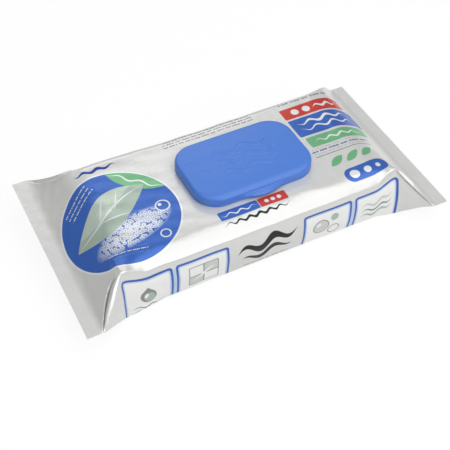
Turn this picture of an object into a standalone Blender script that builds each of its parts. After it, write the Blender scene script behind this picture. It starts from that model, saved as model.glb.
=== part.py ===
"""Wet wipes pack: a sealed pillow pack of printed film with a hinged plastic dispensing lid on top.

Units are metres and +Z is up. +X runs along the pack and -Y is its front long side.
The origin is the middle of the base, on the surface that the pack rests on.
The film tube is sealed flat at both ends, so its girth is the same everywhere: where the
body is a block the film goes round it, and at the seals the same film lies flat as a
wide fin. That is why the ends flare out into ears. The fins are soft, so each has its
own lift and twist: the left one curls up at the back, the right one droops a little.
"""

import math

import bmesh
import bpy
from mathutils import Vector

# Film pack: the body round the stack of wipes
BODY_HALF_LENGTH = 0.099
BODY_HALF_WIDTH = 0.0515
BODY_HEIGHT = 0.0385
TOP_EDGE_RADIUS = 0.008
BASE_EDGE_RADIUS = 0.0045
SIDE_BULGE = 0.0010

# Film pack: the ends, from the body to the flat seals
END_LENGTH = 0.0217
FIN_LENGTH = 0.0093
FIN_THICKNESS = 0.0006
FIN_LEVEL = 0.0174
LEFT_FIN_LIFT = 0.0041
LEFT_FIN_TWIST = 0.0050
RIGHT_FIN_LIFT = -0.0028
RIGHT_FIN_TWIST = 0.0014
TOP_SHOULDER = 0.014
BASE_SHOULDER = 0.007
SLOPE_POWER = 1.6
CROWN_POWER = 3.0
EAR_EDGE_RADIUS = 0.0008
EAR_RIDGE_HEIGHT = 0.0012

# Film pack: the lengthwise seam, folded flat under the base
SEAM_WIDTH = 0.012
SEAM_GROOVE_WIDTH = 0.0010
SEAM_GROOVE_DEPTH = 0.0004

# Lid: its place on the film and its outline
LID_CENTRE_X = 0.0097
LID_CENTRE_Y = 0.0012
LID_HALF_LENGTH = 0.0428
LID_HALF_WIDTH = 0.0284
LID_CORNER_RADIUS = 0.017
LID_HEIGHT = 0.0078
LEAST_CORNER_RADIUS = 0.002

# Lid frame: flange, collar round the dispensing opening, catch
PART_GAP = 0.0003
FLANGE_THICKNESS = 0.0012
FLANGE_WIDTH = 0.011
COLLAR_WALL = 0.0012
COLLAR_HEIGHT = 0.0030
CATCH_LENGTH = 0.014
CATCH_THICKNESS = 0.001
CATCH_HEIGHT = 0.0022

# Lid cover: a shell with a rounded top edge, a sealing rim and a thumb lip
COVER_WALL = 0.0012
COVER_EDGE_RADIUS = 0.003
COVER_CROWN = 0.0004
RIM_WALL = 0.001
RIM_OVERLAP = 0.001
RIM_CLEARANCE = 0.00035
LIP_LENGTH = 0.034
LIP_REACH = 0.005
LIP_THICKNESS = 0.0018

# Living hinge along the lid's far side
HINGE_LENGTH = 0.040
HINGE_THICKNESS = 0.00035
HINGE_HEIGHT = 0.0024

# Peel label over the cut in the film, inside the collar
LABEL_MARGIN = 0.0015
LABEL_THICKNESS = 0.0003
TAB_LENGTH = 0.014
TAB_REACH = 0.0045
TAB_CORNER_RADIUS = 0.003

# How finely curves are divided
CORNER_STEPS = 7
FRONT_STEPS = 16
END_STEPS = 9
SHOULDER_STEPS = 4
BODY_STEPS = 6
TOP_STEPS = 6
SIDE_STEPS = 4

# Levels and places that follow from the sizes above
BODY_END = BODY_HALF_LENGTH + END_LENGTH
PACK_HALF_LENGTH = BODY_END + FIN_LENGTH
LID_CENTRE = Vector((LID_CENTRE_X, LID_CENTRE_Y, 0.0))
FLANGE_BASE = BODY_HEIGHT + PART_GAP
FLANGE_TOP = FLANGE_BASE + FLANGE_THICKNESS
COLLAR_TOP = FLANGE_TOP + COLLAR_HEIGHT
COVER_BASE = FLANGE_TOP + PART_GAP
COVER_TOP = BODY_HEIGHT + LID_HEIGHT
CEILING = COVER_TOP - COVER_WALL
RIM_BASE = COLLAR_TOP - RIM_OVERLAP
COLLAR_OUTSIDE = FLANGE_WIDTH - COLLAR_WALL
RIM_INSIDE = COLLAR_OUTSIDE - RIM_CLEARANCE
RIM_OUTSIDE = RIM_INSIDE - RIM_WALL
HINGE_SETBACK = LID_HALF_WIDTH + PART_GAP + HINGE_THICKNESS / 2
HINGE_AXIS = LID_CENTRE + Vector((0.0, HINGE_SETBACK, (FLANGE_TOP + COVER_BASE) / 2))


def film_girth():
    """Length of film once round the body: four sides, less what the rounded edges save."""
    saved = (2 - math.pi / 2) * 2 * (TOP_EDGE_RADIUS + BASE_EDGE_RADIUS)
    return 4 * BODY_HALF_WIDTH + 2 * BODY_HEIGHT - saved


FIN_HALF_WIDTH = film_girth() / 4 - FIN_THICKNESS / 2


def clear_scene():
    """Remove every object of the opened file."""
    for thing in list(bpy.data.objects):
        bpy.data.objects.remove(thing)


def plastic(name, colour, roughness, metallic=0.0):
    """A Principled material of one colour."""
    material = bpy.data.materials.new(name)
    material.use_nodes = True
    shader = material.node_tree.nodes["Principled BSDF"]
    shader.inputs["Base Color"].default_value = (*colour, 1.0)
    shader.inputs["Roughness"].default_value = roughness
    shader.inputs["Metallic"].default_value = metallic
    return material


def add_object(name, bm, material, origin=Vector()):
    """Turn a bmesh made in world coordinates into an object with its origin at the given point."""
    bmesh.ops.recalc_face_normals(bm, faces=bm.faces)
    bmesh.ops.translate(bm, verts=bm.verts, vec=-origin)
    mesh = bpy.data.meshes.new(name)
    bm.to_mesh(mesh)
    bm.free()
    mesh.materials.append(material)
    mesh.shade_smooth()
    mesh.set_sharp_from_angle(angle=math.radians(35))
    thing = bpy.data.objects.new(name, mesh)
    thing.location = origin
    bpy.context.scene.collection.objects.link(thing)
    return thing


def join_loops(loops, ring=False):
    """A bmesh whose faces join each loop of points to the next.

    The first and last loops are capped, or joined to each other where ring is true.
    """
    bm = bmesh.new()
    rows = [[bm.verts.new(point) for point in loop] for loop in loops]
    pairs = list(zip(rows, rows[1:]))
    if ring:
        pairs.append((rows[-1], rows[0]))
    else:
        bm.faces.new(rows[0])
        bm.faces.new(rows[-1])
    for low, high in pairs:
        for i in range(len(low)):
            j = (i + 1) % len(low)
            bm.faces.new((low[i], low[j], high[j], high[i]))
    return bm


def mix(a, b, share):
    return a + (b - a) * share


def steps(start, end, count):
    """Evenly spaced values from start to end, without the start."""
    return [mix(start, end, i / count) for i in range(1, count + 1)]


def arc(centre_y, centre_z, radius, start_deg, ridge=0.0):
    """A quarter turn in the YZ plane, its middle pulled outwards by ridge as a pinched fold."""
    points = []
    for i in range(CORNER_STEPS + 1):
        turn = math.radians(start_deg + 90 * i / CORNER_STEPS)
        reach = radius + ridge * math.sin(math.pi * i / CORNER_STEPS) ** 3
        points.append((centre_y + reach * math.cos(turn), centre_z + reach * math.sin(turn)))
    return points


def film_section(x):
    """The film's outline across the pack at x, as points in the YZ plane.

    Along the body it is a rectangle with rounded edges. From the body's end to the fin it
    gets wider and lower in step, so its girth stays the same, and its edges sharpen into
    the ridges of the ears. The middle of each panel slopes sooner than its corners do.
    """
    past_body = max(0.0, abs(x) - BODY_HALF_LENGTH)
    closed = min(1.0, past_body / END_LENGTH)
    half_width = mix(BODY_HALF_WIDTH, FIN_HALF_WIDTH, closed)
    fin_top = FIN_LEVEL + FIN_THICKNESS / 2
    fin_base = FIN_LEVEL - FIN_THICKNESS / 2

    def slope(shoulder):
        run = (abs(x) - BODY_HALF_LENGTH + shoulder) / (END_LENGTH + shoulder)
        return min(1.0, max(0.0, run)) ** SLOPE_POWER

    top_edge = mix(BODY_HEIGHT, fin_top, closed)
    top_middle = mix(BODY_HEIGHT, fin_top, slope(TOP_SHOULDER))
    base_edge = mix(0.0, fin_base, closed)
    base_middle = mix(0.0, fin_base, slope(BASE_SHOULDER))

    least = FIN_THICKNESS / 4
    sharpen = (1 - closed) ** 3
    height = top_edge - base_edge
    top_radius = min(mix(EAR_EDGE_RADIUS, TOP_EDGE_RADIUS, sharpen), height / 2 - least)
    base_radius = min(mix(EAR_EDGE_RADIUS, BASE_EDGE_RADIUS, sharpen), height / 2 - least)
    ridge = EAR_RIDGE_HEIGHT * math.sin(math.pi * closed) if closed < 1 else 0.0
    groove = mix(SEAM_GROOVE_DEPTH, FIN_THICKNESS / 4, closed)

    def panel(y, flat, middle, edge):
        return mix(middle, edge, min(1.0, y / flat) ** CROWN_POWER)

    top_flat = half_width - top_radius
    base_flat = half_width - base_radius
    seam = SEAM_WIDTH / 2
    lip = SEAM_GROOVE_WIDTH / 2
    base = [0.0, seam - lip, seam, seam + lip] + steps(seam + lip, base_flat, TOP_STEPS)[:-1]
    points = [(y, panel(y, base_flat, base_middle, base_edge) + (groove if y == seam else 0.0)) for y in base]
    points += arc(base_flat, base_edge + base_radius, base_radius, -90)
    wall_base = base_edge + base_radius
    wall_top = top_edge - top_radius
    for z in steps(wall_base, wall_top, SIDE_STEPS)[:-1]:
        share = (z - wall_base) / (wall_top - wall_base)
        points.append((half_width + SIDE_BULGE * (1 - closed) * math.sin(math.pi * share), z))
    points += arc(top_flat, wall_top, top_radius, 0, ridge)
    points += [(y, panel(y, top_flat, top_middle, top_edge)) for y in steps(top_flat, 0.0, TOP_STEPS)]
    points += [(-y, z) for y, z in reversed(points[1:-1])]
    lift, twist = (LEFT_FIN_LIFT, LEFT_FIN_TWIST) if x < 0 else (RIGHT_FIN_LIFT, RIGHT_FIN_TWIST)
    return [(y, z + closed**2 * (lift + twist * y / FIN_HALF_WIDTH)) for y, z in points]


def film_stations():
    """Where the sections lie along +X, from the middle to the fin's outer edge."""
    shoulder = BODY_HALF_LENGTH - max(TOP_SHOULDER, BASE_SHOULDER)
    stations = [0.0] + steps(0.0, shoulder, BODY_STEPS)
    stations += steps(shoulder, BODY_HALF_LENGTH, SHOULDER_STEPS)
    stations += steps(BODY_HALF_LENGTH, BODY_END, END_STEPS)
    return stations + [PACK_HALF_LENGTH]


def add_film_pack(material):
    """The sealed pack: film, wipes and seam as one closed solid."""
    half = film_stations()
    stations = [-x for x in reversed(half[1:])] + half
    loops = [[(x, y, z) for y, z in film_section(x)] for x in stations]
    return add_object("film_pack", join_loops(loops), material)


def lid_outline(inset, z, lip_reach=0.0):
    """The lid's rounded rectangle moved inwards by inset, as points anticlockwise from above.

    The straight front side swells forwards by lip_reach in its middle, as the thumb lip.
    """
    half_length = LID_HALF_LENGTH - inset
    half_width = LID_HALF_WIDTH - inset
    radius = max(LEAST_CORNER_RADIUS, LID_CORNER_RADIUS - inset)
    corners = (
        (half_length - radius, half_width - radius, 0),
        (radius - half_length, half_width - radius, 90),
        (radius - half_length, radius - half_width, 180),
        (half_length - radius, radius - half_width, 270),
    )
    points = []
    for centre_x, centre_y, start_deg in corners:
        if start_deg == 270:
            points += front_side(radius - half_length, half_length - radius, -half_width, lip_reach)
        for i in range(CORNER_STEPS + 1):
            turn = math.radians(start_deg + 90 * i / CORNER_STEPS)
            points.append((centre_x + radius * math.cos(turn), centre_y + radius * math.sin(turn)))
    return [LID_CENTRE + Vector((x, y, z)) for x, y in points]


def front_side(start, end, y, lip_reach):
    """Points between the front corners, with the thumb lip as one smooth wave."""
    points = []
    for x in steps(start, end, FRONT_STEPS)[:-1]:
        share = min(1.0, abs(x) / (LIP_LENGTH / 2))
        points.append((x, y - lip_reach * math.cos(share * math.pi / 2) ** 2))
    return points


def add_lid_frame(material):
    """Flange stuck on the film, collar round the opening, and the catch behind the cover's front."""
    profile = (
        (0.0, FLANGE_BASE),
        (0.0, FLANGE_TOP),
        (COLLAR_OUTSIDE, FLANGE_TOP),
        (COLLAR_OUTSIDE, COLLAR_TOP),
        (FLANGE_WIDTH, COLLAR_TOP),
        (FLANGE_WIDTH, FLANGE_BASE),
    )
    loops = [lid_outline(inset, z) for inset, z in profile]
    frame = add_object("lid_frame", join_loops(loops, ring=True), material)
    catch = add_catch(material)
    union = frame.modifiers.new("catch", "BOOLEAN")
    union.operation = "UNION"
    union.solver = "EXACT"
    union.object = catch
    return frame


def add_catch(material):
    """The catch's block, which reaches half way into the flange that it is joined to."""
    low = FLANGE_TOP - FLANGE_THICKNESS / 2
    high = FLANGE_TOP + CATCH_HEIGHT
    outer_y = COVER_WALL + RIM_CLEARANCE - LID_HALF_WIDTH
    middle = LID_CENTRE + Vector((0.0, outer_y + CATCH_THICKNESS / 2, (low + high) / 2))
    bm = bmesh.new()
    bmesh.ops.create_cube(bm, size=1.0)
    bmesh.ops.scale(bm, verts=bm.verts, vec=(CATCH_LENGTH, CATCH_THICKNESS, high - low))
    bmesh.ops.translate(bm, verts=bm.verts, vec=middle)
    catch = add_object("catch_shape", bm, material)
    catch.hide_render = True
    catch.display_type = "WIRE"
    return catch


def add_lid_cover(material):
    """The flip-up cover: crowned top, rounded edge, skirt with the thumb lip, and sealing rim."""
    wall_top = COVER_TOP - COVER_EDGE_RADIUS
    lip_top = COVER_BASE + LIP_THICKNESS
    loops = []
    for share in (0.15, 0.4, 0.7, 0.9):
        crown = COVER_CROWN * (1 - share**2)
        inset = mix(LID_HALF_WIDTH - LEAST_CORNER_RADIUS, COVER_EDGE_RADIUS, share)
        loops.append(lid_outline(inset, COVER_TOP + crown))
    for i in range(CORNER_STEPS + 1):
        turn = math.pi / 2 * i / CORNER_STEPS
        inset = COVER_EDGE_RADIUS * (1 - math.sin(turn))
        loops.append(lid_outline(inset, wall_top + COVER_EDGE_RADIUS * math.cos(turn)))
    loops.append(lid_outline(0.0, lip_top + LIP_THICKNESS / 2))
    loops.append(lid_outline(0.0, lip_top, LIP_REACH))
    loops.append(lid_outline(0.0, COVER_BASE, LIP_REACH))
    profile = (
        (COVER_WALL, COVER_BASE),
        (COVER_WALL, CEILING - COVER_EDGE_RADIUS / 2),
        (COVER_EDGE_RADIUS, CEILING),
        (RIM_OUTSIDE, CEILING),
        (RIM_OUTSIDE, RIM_BASE),
        (RIM_INSIDE, RIM_BASE),
        (RIM_INSIDE, CEILING),
    )
    loops += [lid_outline(inset, z) for inset, z in profile]
    return add_object("lid_cover", join_loops(loops), material, HINGE_AXIS)


def add_hinge_web(material):
    """The thin strip that joins frame and cover along their back edges and bends as the cover opens."""
    bm = bmesh.new()
    bmesh.ops.create_cube(bm, size=1.0)
    bmesh.ops.scale(bm, verts=bm.verts, vec=(HINGE_LENGTH, HINGE_THICKNESS, HINGE_HEIGHT))
    bmesh.ops.translate(bm, verts=bm.verts, vec=HINGE_AXIS)
    return add_object("hinge_web", bm, material, HINGE_AXIS)


def add_seal_label(material):
    """The peel label with its pull tab towards the front, one outline given a thickness."""
    half_length = LID_HALF_LENGTH - FLANGE_WIDTH - LABEL_MARGIN
    back = LID_HALF_WIDTH - FLANGE_WIDTH - LABEL_MARGIN
    front = TAB_REACH - back
    radius = max(LEAST_CORNER_RADIUS, LID_CORNER_RADIUS - FLANGE_WIDTH - LABEL_MARGIN)
    corners = (
        (half_length - radius, back - radius, radius, 0),
        (radius - half_length, back - radius, radius, 90),
        (radius - half_length, front + radius, radius, 180),
        (TAB_CORNER_RADIUS - TAB_LENGTH / 2, front - TAB_REACH + TAB_CORNER_RADIUS, TAB_CORNER_RADIUS, 180),
        (TAB_LENGTH / 2 - TAB_CORNER_RADIUS, front - TAB_REACH + TAB_CORNER_RADIUS, TAB_CORNER_RADIUS, 270),
        (half_length - radius, front + radius, radius, 270),
    )
    points = []
    for number, (centre_x, centre_y, size, start_deg) in enumerate(corners):
        if number == 5:
            points.append((TAB_LENGTH / 2, front))
        for i in range(CORNER_STEPS + 1):
            turn = math.radians(start_deg + 90 * i / CORNER_STEPS)
            points.append((centre_x + size * math.cos(turn), centre_y + size * math.sin(turn)))
        if number == 2:
            points.append((-TAB_LENGTH / 2, front))
    base = BODY_HEIGHT + PART_GAP
    loops = [[LID_CENTRE + Vector((x, y, z)) for x, y in points] for z in (base, base + LABEL_THICKNESS)]
    return add_object("seal_label", join_loops(loops), material)


def build():
    clear_scene()
    film = plastic("pearl_film", (0.66, 0.67, 0.66), 0.36)
    label = plastic("label_film", (0.80, 0.82, 0.82), 0.30)
    lid = plastic("blue_polypropylene", (0.105, 0.235, 0.680), 0.38)
    hinge = plastic("blue_hinge_strip", (0.085, 0.200, 0.600), 0.34)
    add_film_pack(film)
    add_seal_label(label)
    add_lid_frame(lid)
    add_lid_cover(lid)
    add_hinge_web(hinge)


build()
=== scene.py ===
# %% [markdown]
# Wet wipes pack: a pillow pack of pearly printed film with a blue flip lid.
#
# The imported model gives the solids, their bodies and the lid's joint. This script dresses
# them: it builds the film as a fine surface that can be unrolled, prints colour fields on
# it, and finishes the moulded lid. Lengths are metres, +X runs along the pack, -Y is its
# front long side and +Z is up.

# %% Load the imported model
import math
from functools import partial

import bpy
import numpy as np
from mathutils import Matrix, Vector


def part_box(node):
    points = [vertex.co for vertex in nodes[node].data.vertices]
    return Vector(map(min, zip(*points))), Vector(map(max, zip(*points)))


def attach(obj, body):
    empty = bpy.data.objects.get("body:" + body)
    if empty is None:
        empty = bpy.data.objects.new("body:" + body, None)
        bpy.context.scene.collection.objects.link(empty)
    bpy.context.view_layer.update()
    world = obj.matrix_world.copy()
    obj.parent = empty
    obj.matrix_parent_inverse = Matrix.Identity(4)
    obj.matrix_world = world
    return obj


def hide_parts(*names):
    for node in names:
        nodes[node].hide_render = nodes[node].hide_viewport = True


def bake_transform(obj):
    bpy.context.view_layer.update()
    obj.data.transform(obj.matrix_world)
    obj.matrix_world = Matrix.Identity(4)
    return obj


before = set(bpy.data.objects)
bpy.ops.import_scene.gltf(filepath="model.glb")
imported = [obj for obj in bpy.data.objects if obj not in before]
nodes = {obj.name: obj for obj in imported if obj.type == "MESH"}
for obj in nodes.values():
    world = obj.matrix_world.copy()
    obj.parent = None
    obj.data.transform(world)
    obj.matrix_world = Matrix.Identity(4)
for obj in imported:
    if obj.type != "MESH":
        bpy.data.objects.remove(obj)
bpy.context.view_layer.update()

MM = 0.001
print("nodes", sorted(nodes))

# %% [markdown]
# The photo looks down on the pack from its front left corner with a long lens. The camera
# stands on the line through the view's centre at that bearing, height angle and distance,
# which keeps the mild perspective of the photo.

# %% Camera
VIEW_BEARING = math.radians(26.99)
VIEW_ELEVATION = math.radians(46.30)
VIEW_DISTANCE = 0.621
VIEW_CENTRE = Vector((-0.0175, -0.0259, 0.020))
SENSOR = 36.0
LENS = 76.4


def stand_at(thing, centre, toward, distance):
    """Stand a camera or a lamp at that distance from the centre, looking back at it."""
    thing.location = Vector(centre) + toward * distance
    thing.rotation_mode = "QUATERNION"
    thing.rotation_quaternion = (-toward).to_track_quat("-Z", "Y")
    bpy.context.scene.collection.objects.link(thing)


view_back = Vector((
    -math.sin(VIEW_BEARING) * math.cos(VIEW_ELEVATION),
    -math.cos(VIEW_BEARING) * math.cos(VIEW_ELEVATION),
    math.sin(VIEW_ELEVATION),
))
camera_data = bpy.data.cameras.new("photo_camera")
camera_data.lens = LENS
camera_data.sensor_width = SENSOR
camera_data.sensor_fit = "HORIZONTAL"
camera_data.clip_start = 0.05
camera_data.clip_end = 20.0
camera = bpy.data.objects.new("photo_camera", camera_data)
stand_at(camera, VIEW_CENTRE, view_back, VIEW_DISTANCE)
bpy.context.scene.camera = camera
bpy.context.scene.view_settings.view_transform = "Standard"
print("camera at", [round(v, 4) for v in camera.location])

# %% [markdown]
# Helpers for every step. One turns a hex colour into the linear light that shaders mix. One
# adds a shader node, and short forms of it add the kinds used most and give their output.
# One turns whole arrays of points into a mesh, row joined to row.

# %% Colour and node helpers


def linear(hex_colour):
    """sRGB hex to linear RGBA: v/12.92 in the dark, ((v + 0.055)/1.055)^2.4 above."""
    srgb = np.array([int(hex_colour[i : i + 2], 16) for i in (1, 3, 5)]) / 255
    rgb = np.where(srgb <= 0.04045, srgb / 12.92, ((srgb + 0.055) / 1.055) ** 2.4)
    return (*rgb.tolist(), 1.0)


def add(tree, kind, sockets=None, **settings):
    """Add one node. Settings are its properties; sockets maps an input to a value or output."""
    node = tree.nodes.new(kind)
    for name, value in settings.items():
        setattr(node, name, value)
    for key, value in (sockets or {}).items():
        if isinstance(value, bpy.types.NodeSocket):
            tree.links.new(value, node.inputs[key])
        else:
            node.inputs[key].default_value = value
    return node


def maths(tree, operation, *values, clamp=False):
    """A Math node on numbers or outputs."""
    sockets = dict(enumerate(values))
    return add(tree, "ShaderNodeMath", sockets, operation=operation, use_clamp=clamp).outputs[0]


def vector_maths(tree, operation, *values):
    """A Vector Math node. Its output is a vector, or a number for a length."""
    node = add(tree, "ShaderNodeVectorMath", dict(enumerate(values)), operation=operation)
    return node.outputs["Value" if operation == "LENGTH" else "Vector"]


def parts_of(tree, vector):
    """The x, y and z of a vector."""
    return add(tree, "ShaderNodeSeparateXYZ", {0: vector}).outputs


def ranged(tree, value, low, high, start=0.0, end=1.0):
    """From low to high while the value goes from start to end."""
    sockets = {0: value, 1: start, 2: end, 3: low, 4: high}
    return add(tree, "ShaderNodeMapRange", sockets).outputs[0]


def noise(tree, where, scale, detail=2.0):
    """Soft noise between 0 and 1."""
    sockets = {"Vector": where, "Scale": scale, "Detail": detail}
    return add(tree, "ShaderNodeTexNoise", sockets).outputs[0]


def mixed(tree, share, first, second):
    """A colour between two: the first at share 0, the second at share 1."""
    return add(tree, "ShaderNodeMix", {0: share, 6: first, 7: second}, data_type="RGBA").outputs[2]


def bump(tree, height, distance, strength=1.0, **sockets):
    """A bent normal, where a height of 1 stands for the distance in metres."""
    sockets.update(Height=height, Distance=distance, Strength=strength)
    return add(tree, "ShaderNodeBump", sockets).outputs[0]


def new_material(name, roughness, **sockets):
    """A material with one Principled shader; sockets are the shader's own constant inputs."""
    material = bpy.data.materials.new(name)
    material.use_nodes = True
    shader = material.node_tree.nodes["Principled BSDF"]
    shader.inputs["Roughness"].default_value = roughness
    for key, value in sockets.items():
        shader.inputs[key].default_value = value
    return material, material.node_tree, shader


# %% Mesh helpers
SHARP_ANGLE = math.radians(38)


def mesh_of_rows(name, rows, flat=None, close_rows=False):
    """Make a mesh from rows[row, column, xyz], each row a closed loop.

    (Next row) x (next column) points out of the solid. The first and last rows get a face
    each, or are joined with close_rows. flat[row, column, 2] has one column more, so a
    print can meet itself along the seam with two different values.
    """
    count, columns = rows.shape[:2]
    starts = np.arange(count if close_rows else count - 1)
    r, c = np.meshgrid(starts, np.arange(columns), indexing="ij")
    r_next = (r + 1) % count
    c_next = (c + 1) % columns
    around = ((r, c), (r_next, c), (r_next, c_next), (r, c_next))
    quads = np.stack([row * columns + column for row, column in around], -1)
    faces = quads.reshape(-1, 4).tolist()
    if not close_rows:
        faces.append(list(range(columns)))
        faces.append(list(range(count * columns - 1, (count - 1) * columns - 1, -1)))
    mesh = bpy.data.meshes.new(name)
    mesh.from_pydata(rows.reshape(-1, 3).tolist(), [], faces)
    if flat is not None:
        corners = np.stack([flat[r, c], flat[r + 1, c], flat[r + 1, c + 1], flat[r, c + 1]], 2)
        last_face = flat[-1, columns - 1 :: -1][:columns]
        corners = np.concatenate([corners.reshape(-1, 2), flat[0, :columns], last_face])
        layer = mesh.uv_layers.new(name="flat_film")
        layer.uv.foreach_set("vector", corners.astype(np.float32).ravel())
    mesh.shade_smooth()
    mesh.set_sharp_from_angle(angle=SHARP_ANGLE)
    mesh.update()
    return mesh


def place(name, mesh, material, body):
    """Link a finished mesh as a piece that rides on a body and takes its finish from a slot."""
    mesh.materials.append(material)
    piece = bpy.data.objects.new(name, mesh)
    bpy.context.scene.collection.objects.link(piece)
    if body:
        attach(piece, body)
    print(name, len(mesh.polygons), "faces")
    return piece


def ease(low, high, value):
    """0 below low, 1 above high, and a smooth S between: t*t*(3 - 2t)."""
    t = np.clip((value - low) / (high - low), 0, 1)
    return t * t * (3 - 2 * t)


def eased(t, blend):
    """The larger of t and 0 with its corner rounded: (t + blend)^2 / (4 blend) near 0."""
    return np.where(t > blend, t, np.clip(t + blend, 0, 2 * blend) ** 2 / (4 * blend))


def mix(a, b, share):
    """From a to b: a + (b - a) * share."""
    return a + (b - a) * share


def bell(t):
    """A soft bump: exp(-t^2)."""
    return np.exp(-(t**2))


def pair(x, y):
    """Points in a plane from two arrays, or from an array and a number."""
    return np.stack(np.broadcast_arrays(x, y), -1)


def at_level(xy, z):
    """Points of a plane at a height."""
    return np.column_stack([xy, np.full(len(xy), z)])


# %% [markdown]
# The film is one tube, so every section across the pack has the same length round it. That
# rule shapes the whole pack: where the body is a block, the film goes round four sides;
# toward each end the section gets lower and, because no film is lost, wider, until it lies
# flat as a fin. The surface is a function of two parameters, the place along the pack and
# the way round the section, so each point also knows where it lies on the flat film, and
# the print can be drawn there. A cloth simulation would lose the pack's straight creases.

# %% Sizes of the film
HALF_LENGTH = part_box("film_pack")[1].x
HEIGHT = 38.5 * MM
FIN_LENGTH = 9.3 * MM
END_LENGTH = 21.7 * MM
FIN_START = HALF_LENGTH - FIN_LENGTH
BODY_HALF = FIN_START - END_LENGTH
BODY_HALF_WIDTH = 51.5 * MM
TOP_RADIUS = 8.0 * MM
BASE_RADIUS = 4.5 * MM
EAR_RADIUS = 0.8 * MM
# The long edges sharpen toward the ends between these places
SHARP_FROM, SHARP_TO = 82 * MM, 98 * MM
FIN_THICKNESS = 0.4 * MM
FIN_LEVEL = 17.4 * MM
FIN_TOP, FIN_BASE = FIN_LEVEL + FIN_THICKNESS / 2, FIN_LEVEL - FIN_THICKNESS / 2
# A quarter turn is shorter than the two straight pieces it replaces by this, times its radius
QUARTER_SAVED = 2 - math.pi / 2
GIRTH = 4 * BODY_HALF_WIDTH + 2 * HEIGHT - 2 * QUARTER_SAVED * (TOP_RADIUS + BASE_RADIUS)
print("film round the pack", round(GIRTH / MM, 1), "mm")

# %% [markdown]
# The grid's lines follow the film's own creases: one set runs along the panels and edges,
# the other lies close together where the ends slope and bend. That way a fold is a line of
# the mesh and stays crisp with few faces.

# %% Stations along the pack and columns round it
TOP, TOP_EDGE, SIDE, BASE_EDGE, BASE = range(5)
COLUMN_COUNTS = {TOP: 84, TOP_EDGE: 18, SIDE: 34, BASE_EDGE: 8, BASE: 28}
STATION_COUNTS = (
    (0.0, SHARP_FROM, 44),
    (SHARP_FROM, BODY_HALF, 24),
    (BODY_HALF, FIN_START, 48),
    (FIN_START, HALF_LENGTH, 14),
)


def stations():
    """Places along +X: wide steps on the body, fine ones where the ends curve and at the fins."""
    half = np.concatenate([np.linspace(*counts)[1:] for counts in STATION_COUNTS])
    return np.concatenate([-half[::-1], [0.0], half])


def columns_round():
    """Half a section from the top's middle to the base's, as (stretch, share along it).

    The columns crowd toward the top's edge: 1 - (1 - t)^2 on the top, t^1.5 on the side.
    """
    parts = []
    for stretch, count in COLUMN_COUNTS.items():
        share = np.arange(count) / count
        if stretch == TOP:
            share = 1 - (1 - share) ** 2
        if stretch == SIDE:
            share = share**1.5
        parts.append(pair(float(stretch), share))
    return np.concatenate(parts + [[(BASE, 1)]])


along = stations()
round_half = columns_round()
print("film grid", len(along), "x", 2 * len(round_half) - 2)

# %% [markdown]
# At each ear the side of the film meets the sloping end in a pinched fold. Its crest is
# pressed flat, a narrow facet that catches the light, and a crease runs at its foot: at
# the left front ear on the end panel, at the right front one on the ear itself. The end
# panel rounds over from the body and again into the fin. The front side also leans: its
# top corners pull in and its foot spreads under the weight of the wipes.

# %% Folds at the ears, and how the ends round off
FRONT, BACK = -1, 1
# An ear's values in mm: the fold's height, the depth of its crease on the end panel and on
# the ear, the width pressed flat, how far from the crest the panel's crease runs, and how
# hollow the panel is there
FOLD_HEIGHT, PANEL_CREASE, EAR_CREASE, FLAT_WIDTH, CREASE_AWAY, HOLLOW = range(6)
LEFT_EARS = {FRONT: (0.5, 6.4, 0.0, 2.2, 5.6, 2.4), BACK: (0.9, 0.7, 0.0, 0.8, 3.0, 0.0)}
RIGHT_EARS = {FRONT: (0.9, 0.0, 2.0, 2.9, 3.0, 0.0), BACK: (0.9, 0.5, 0.0, 0.8, 3.0, 0.0)}
PINCH_POWER = 0.8
PRESSED_FLAT = 0.85
PANEL_CREASE_WIDTH, EAR_CREASE_WIDTH = 0.8 * MM, 0.56 * MM
HOLLOW_REACH = 9 * MM
# How far down the ear the fold's height reaches, above a crease and without one
CREASED_LEDGE, SMOOTH_LEDGE = 0.6 * MM, 6 * MM
EAR_CREASE_BELOW = 0.3 * MM
LEAST_AWAY = 0.4 * MM
# How far the film rounds over from the body into the end, and from the end into the fin
START_BLEND = {FRONT: 0.7 * MM, BACK: 5.0 * MM}
FIN_BLEND = {FRONT: 1.6 * MM, BACK: 2.9 * MM}
FIN_EARLY = 1.2 * MM


def closing_at(x, side):
    """How far the end has closed, 0 at the body and 1 at the fin, with both corners rounded."""
    run = eased(np.abs(x) - BODY_HALF, START_BLEND[side]) * END_LENGTH / (END_LENGTH - FIN_EARLY)
    return 1 - eased(END_LENGTH - run, FIN_BLEND[side]) / END_LENGTH


def run_from(x, start):
    """The same for the middle of a panel, which begins to fall start before the body's end."""
    left = eased(BODY_HALF + END_LENGTH - FIN_EARLY - np.abs(x), FIN_BLEND[BACK])
    return np.clip(1 - left / (END_LENGTH - FIN_EARLY + start), 0, 1)


def at_ear(x, side, number):
    """One of an ear's values in metres, the left ears' for x below zero."""
    return np.where(x < 0, LEFT_EARS[side][number], RIGHT_EARS[side][number]) * MM


# %% Section of the film at each station
# The front's top edge: a shoulder that slopes down to a crisp crest
SHOULDER_SLANT = {FRONT: math.radians(38), BACK: 0.0}
SHOULDER_REACH = 13 * MM
SHOULDER_POWER = 2.0
CREST_RADIUS = {FRONT: 3.0 * MM, BACK: TOP_RADIUS}
# The most of the section's height that one edge may take
EDGE_SHARE = 0.45
# The middle of the top and of the base begin to fall this far before the body's end
TOP_SAG, BASE_SAG = 14 * MM, 7 * MM
SAG_POWER = 1.6
SIDE_BULGE = 1.6 * MM
# How far the front's top corners pull in, where that begins and is full, and where it ends
LEFT_LEAN, RIGHT_LEAN = 0.4 * MM, 2.4 * MM
LEAN_FROM, LEAN_TO, LEAN_END = 80 * MM, 97 * MM, 0.7
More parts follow.
